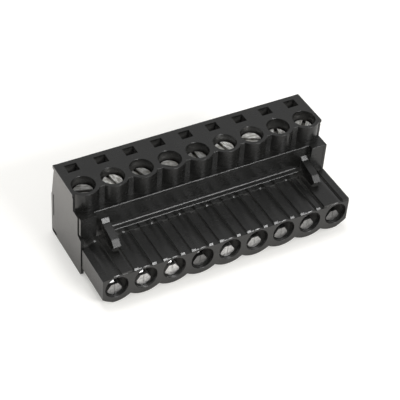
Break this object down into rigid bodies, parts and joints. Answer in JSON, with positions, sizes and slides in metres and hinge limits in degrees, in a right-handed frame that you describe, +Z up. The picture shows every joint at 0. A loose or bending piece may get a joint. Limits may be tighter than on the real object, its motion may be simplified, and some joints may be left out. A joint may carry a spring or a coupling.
{
  "type": "pluggable terminal block",
  "caption": "Straight row of rising-cage screw clamps with round plug sockets in front, black plastic in two shells, slotted screws in towers on top.",
  "frame": {"origin": "middle of the footprint on the standing face", "axes": "+X along the row of poles, +Y from the mating face to the conductor side, +Z up, the way the screws face"},
  "size_m": [0.0458, 0.0196, 0.0151],
  "materials": {
    "black_plastic": "satin black moulded polyamide",
    "screw_steel": "bright zinc-plated steel",
    "cage_steel": "nickel-plated steel",
    "tinned_contact": "bright tin plating over copper alloy"
  },
  "bodies": {
    "housing": {"clamp_housing": "black_plastic", "contact_housing": "black_plastic", "socket_contact_1": "tinned_contact", "socket_contact_2": "tinned_contact", "socket_contact_3": "tinned_contact", "socket_contact_4": "tinned_contact", "socket_contact_5": "tinned_contact", "socket_contact_6": "tinned_contact", "socket_contact_7": "tinned_contact", "socket_contact_8": "tinned_contact", "socket_contact_9": "tinned_contact"},
    "screw_1": {"terminal_screw_1": "screw_steel"},
    "cage_1": {"clamp_cage_1": "cage_steel"},
    "screw_2": {"terminal_screw_2": "screw_steel"},
    "cage_2": {"clamp_cage_2": "cage_steel"},
    "screw_3": {"terminal_screw_3": "screw_steel"},
    "cage_3": {"clamp_cage_3": "cage_steel"},
    "screw_4": {"terminal_screw_4": "screw_steel"},
    "cage_4": {"clamp_cage_4": "cage_steel"},
    "screw_5": {"terminal_screw_5": "screw_steel"},
    "cage_5": {"clamp_cage_5": "cage_steel"},
    "screw_6": {"terminal_screw_6": "screw_steel"},
    "cage_6": {"clamp_cage_6": "cage_steel"},
    "screw_7": {"terminal_screw_7": "screw_steel"},
    "cage_7": {"clamp_cage_7": "cage_steel"},
    "screw_8": {"terminal_screw_8": "screw_steel"},
    "cage_8": {"clamp_cage_8": "cage_steel"},
    "screw_9": {"terminal_screw_9": "screw_steel"},
    "cage_9": {"clamp_cage_9": "cage_steel"}
  },
  "joints": [
    {"name": "screw_turn_1", "type": "hinge", "parent": "housing", "child": "screw_1", "pos_m": [-0.02032, 0.00275, 0.0126], "axis": [0, 0, -1], "range_deg": [0, 2160]},
    {"name": "cage_rise_1", "type": "slide", "parent": "housing", "child": "cage_1", "axis": [0, 0, 1], "range_m": [0, 0.003]},
    {"name": "screw_turn_2", "type": "hinge", "parent": "housing", "child": "screw_2", "pos_m": [-0.01524, 0.00275, 0.0126], "axis": [0, 0, -1], "range_deg": [0, 2160]},
    {"name": "cage_rise_2", "type": "slide", "parent": "housing", "child": "cage_2", "axis": [0, 0, 1], "range_m": [0, 0.003]},
    {"name": "screw_turn_3", "type": "hinge", "parent": "housing", "child": "screw_3", "pos_m": [-0.01016, 0.00275, 0.0126], "axis": [0, 0, -1], "range_deg": [0, 2160]},
    {"name": "cage_rise_3", "type": "slide", "parent": "housing", "child": "cage_3", "axis": [0, 0, 1], "range_m": [0, 0.003]},
    {"name": "screw_turn_4", "type": "hinge", "parent": "housing", "child": "screw_4", "pos_m": [-0.00508, 0.00275, 0.0126], "axis": [0, 0, -1], "range_deg": [0, 2160]},
    {"name": "cage_rise_4", "type": "slide", "parent": "housing", "child": "cage_4", "axis": [0, 0, 1], "range_m": [0, 0.003]},
    {"name": "screw_turn_5", "type": "hinge", "parent": "housing", "child": "screw_5", "pos_m": [0, 0.00275, 0.0126], "axis": [0, 0, -1], "range_deg": [0, 2160]},
    {"name": "cage_rise_5", "type": "slide", "parent": "housing", "child": "cage_5", "axis": [0, 0, 1], "range_m": [0, 0.003]},
    {"name": "screw_turn_6", "type": "hinge", "parent": "housing", "child": "screw_6", "pos_m": [0.00508, 0.00275, 0.0126], "axis": [0, 0, -1], "range_deg": [0, 2160]},
    {"name": "cage_rise_6", "type": "slide", "parent": "housing", "child": "cage_6", "axis": [0, 0, 1], "range_m": [0, 0.003]},
    {"name": "screw_turn_7", "type": "hinge", "parent": "housing", "child": "screw_7", "pos_m": [0.01016, 0.00275, 0.0126], "axis": [0, 0, -1], "range_deg": [0, 2160]},
    {"name": "cage_rise_7", "type": "slide", "parent": "housing", "child": "cage_7", "axis": [0, 0, 1], "range_m": [0, 0.003]},
    {"name": "screw_turn_8", "type": "hinge", "parent": "housing", "child": "screw_8", "pos_m": [0.01524, 0.00275, 0.0126], "axis": [0, 0, -1], "range_deg": [0, 2160]},
    {"name": "cage_rise_8", "type": "slide", "parent": "housing", "child": "cage_8", "axis": [0, 0, 1], "range_m": [0, 0.003]},
    {"name": "screw_turn_9", "type": "hinge", "parent": "housing", "child": "screw_9", "pos_m": [0.02032, 0.00275, 0.0126], "axis": [0, 0, -1], "range_deg": [0, 2160]},
    {"name": "cage_rise_9", "type": "slide", "parent": "housing", "child": "cage_9", "axis": [0, 0, 1], "range_m": [0, 0.003]}
  ],
  "couplings": [
    {"joint": "screw_turn_1", "follows": "cage_rise_1", "rad_per_m": 12566},
    {"joint": "screw_turn_2", "follows": "cage_rise_2", "rad_per_m": 12566},
    {"joint": "screw_turn_3", "follows": "cage_rise_3", "rad_per_m": 12566},
    {"joint": "screw_turn_4", "follows": "cage_rise_4", "rad_per_m": 12566},
    {"joint": "screw_turn_5", "follows": "cage_rise_5", "rad_per_m": 12566},
    {"joint": "screw_turn_6", "follows": "cage_rise_6", "rad_per_m": 12566},
    {"joint": "screw_turn_7", "follows": "cage_rise_7", "rad_per_m": 12566},
    {"joint": "screw_turn_8", "follows": "cage_rise_8", "rad_per_m": 12566},
    {"joint": "screw_turn_9", "follows": "cage_rise_9", "rad_per_m": 12566}
  ]
}
